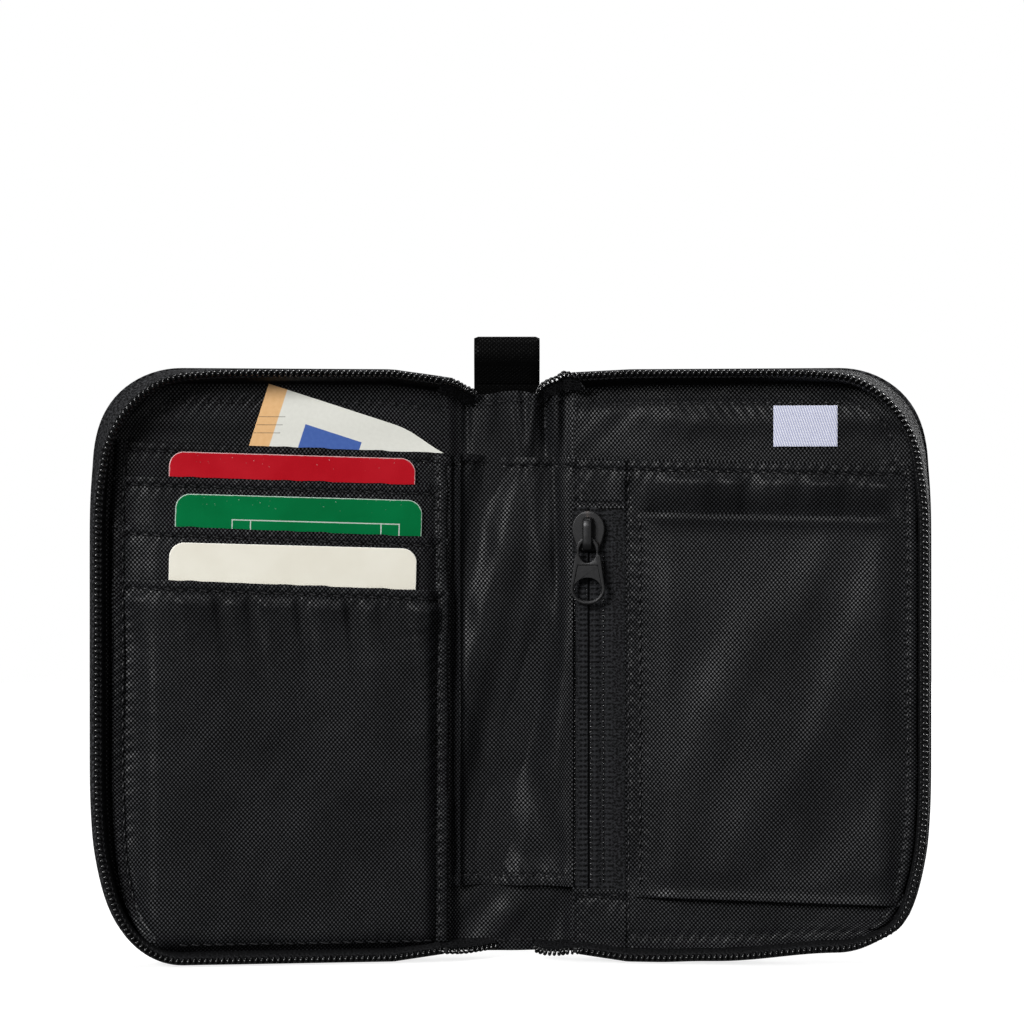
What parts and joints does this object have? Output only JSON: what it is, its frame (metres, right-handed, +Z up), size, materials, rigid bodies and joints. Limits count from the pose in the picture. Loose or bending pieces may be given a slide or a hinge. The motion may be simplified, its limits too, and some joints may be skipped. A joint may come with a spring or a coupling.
{
  "type": "zippered pouch",
  "caption": "Book-like zip-around pouch standing open on two padded covers, with stepped card slots, a zipped pocket, a gusseted pocket and a webbing loop.",
  "frame": {"origin": "middle of the footprint, on the surface that the open pouch stands on", "axes": "+Z up along the spine, +X from the front cover to the back cover, -Y out of the open inside"},
  "size_m": [0.184, 0.0298, 0.1368],
  "materials": {
    "outer_fabric": "matt woven polyester with a fine diagonal grain",
    "lining_fabric": "matt woven polyester, small basket weave",
    "foam": "closed cell foam, hidden",
    "stiffener": "thin plastic board, hidden",
    "webbing": "flat woven polyester webbing",
    "zip_tape": "woven zipper tape",
    "zip_coil": "moulded nylon coil with a slight sheen",
    "painted_zinc": "satin black painted zinc",
    "spring_steel": "bright spring steel",
    "woven_label": "plain pale woven label",
    "red_card": "printed plastic card",
    "green_card": "printed plastic card",
    "cream_card": "printed plastic card",
    "paper": "printed paper"
  },
  "bodies": {
    "spine": {"spine_shell": "outer_fabric", "spine_stiffener": "stiffener", "spine_lining": "lining_fabric", "bridge_panel": "lining_fabric", "loop_sewn_end": "webbing", "tail_tape_left": "zip_tape", "tail_tape_right": "zip_tape", "tail_coil_left": "zip_coil", "tail_coil_right": "zip_coil", "tail_bottom_stop": "painted_zinc", "tail_end_tab": "outer_fabric"},
    "webbing_loop": {"hanging_loop": "webbing"},
    "front_cover": {"front_shell": "outer_fabric", "front_foam": "foam", "front_lining": "lining_fabric", "front_side_wall": "outer_fabric", "front_main_tape": "zip_tape", "front_main_coil": "zip_coil", "front_end_stop": "painted_zinc", "front_slip_panel": "lining_fabric", "card_slot_back": "lining_fabric", "card_slot_middle": "lining_fabric", "card_slot_front": "lining_fabric", "front_inner_binding": "lining_fabric", "front_outer_binding": "lining_fabric"},
    "back_cover": {"back_shell": "outer_fabric", "back_foam": "foam", "back_lining": "lining_fabric", "back_side_wall": "outer_fabric", "back_main_tape": "zip_tape", "back_main_coil": "zip_coil", "back_end_stop": "painted_zinc", "back_slip_panel": "lining_fabric", "zip_pocket_panel": "lining_fabric", "zip_top_tab": "lining_fabric", "zip_bottom_tab": "lining_fabric", "inner_tape_fold_side": "zip_tape", "inner_tape_edge_side": "zip_tape", "inner_coil_fold_side": "zip_coil", "inner_coil_edge_side": "zip_coil", "inner_top_stop_fold_side": "painted_zinc", "inner_top_stop_edge_side": "painted_zinc", "inner_bottom_stop": "painted_zinc", "gusset_pocket_face": "lining_fabric", "gusset_pocket_wall": "lining_fabric", "back_outer_binding": "lining_fabric", "woven_label": "woven_label"},
    "main_slider": {"main_slider_body": "painted_zinc", "main_slider_crown": "painted_zinc", "main_slider_lock_spring": "spring_steel"},
    "main_pull": {"main_pull_tab": "painted_zinc"},
    "inner_slider": {"inner_slider_body": "painted_zinc", "inner_slider_crown": "painted_zinc", "inner_slider_lock_spring": "spring_steel"},
    "inner_pull": {"inner_pull_tab": "painted_zinc"},
    "upper_card_body": {"upper_card": "red_card"},
    "middle_card_body": {"middle_card": "green_card"},
    "lower_card_body": {"lower_card": "cream_card"},
    "paper_body": {"paper_slip": "paper"}
  },
  "joints": [
    {"name": "front_cover_fold", "type": "hinge", "parent": "spine", "child": "front_cover", "pos_m": [-0.012, 0.00803, 0], "axis": [0, 0, 1], "range_deg": [-8, 82]},
    {"name": "back_cover_fold", "type": "hinge", "parent": "spine", "child": "back_cover", "pos_m": [0.012, 0.00803, 0], "axis": [0, 0, -1], "range_deg": [-8, 82]},
    {"name": "loop_bend", "type": "hinge", "parent": "spine", "child": "webbing_loop", "pos_m": [-0.0008, 0.01053, 0.127], "axis": [-1, 0, 0], "range_deg": [0, 75], "stiffness_Nm_per_rad": 0.001},
    {"name": "main_slider_travel", "type": "slide", "parent": "spine", "child": "main_slider", "axis": [0, 0, 1], "range_m": [0, 0.014]},
    {"name": "main_pull_swing", "type": "hinge", "parent": "main_slider", "child": "main_pull", "pos_m": [0, 0.01338, 0.089], "axis": [1, 0, 0], "range_deg": [0, 175]},
    {"name": "inner_slider_travel", "type": "slide", "parent": "back_cover", "child": "inner_slider", "axis": [0, 0, -1], "range_m": [0, 0.07]},
    {"name": "inner_pull_swing", "type": "hinge", "parent": "inner_slider", "child": "inner_pull", "pos_m": [0.01691, -0.00159, 0.0925], "axis": [-0.9903, 0.1392, 0], "range_deg": [0, 175]},
    {"name": "upper_card_slide", "type": "slide", "parent": "front_cover", "child": "upper_card_body", "axis": [0.0276, 0.0039, 0.9996], "range_m": [0, 0.015]},
    {"name": "middle_card_slide", "type": "slide", "parent": "front_cover", "child": "middle_card_body", "axis": [0.0276, 0.0039, 0.9996], "range_m": [0, 0.023]},
    {"name": "lower_card_slide", "type": "slide", "parent": "front_cover", "child": "lower_card_body", "axis": [0.0276, 0.0039, 0.9996], "range_m": [0, 0.033]},
    {"name": "paper_slip_slide", "type": "slide", "parent": "front_cover", "child": "paper_body", "axis": [0.3011, 0.0423, 0.9527], "range_m": [-0.03, 0.0015]}
  ]
}
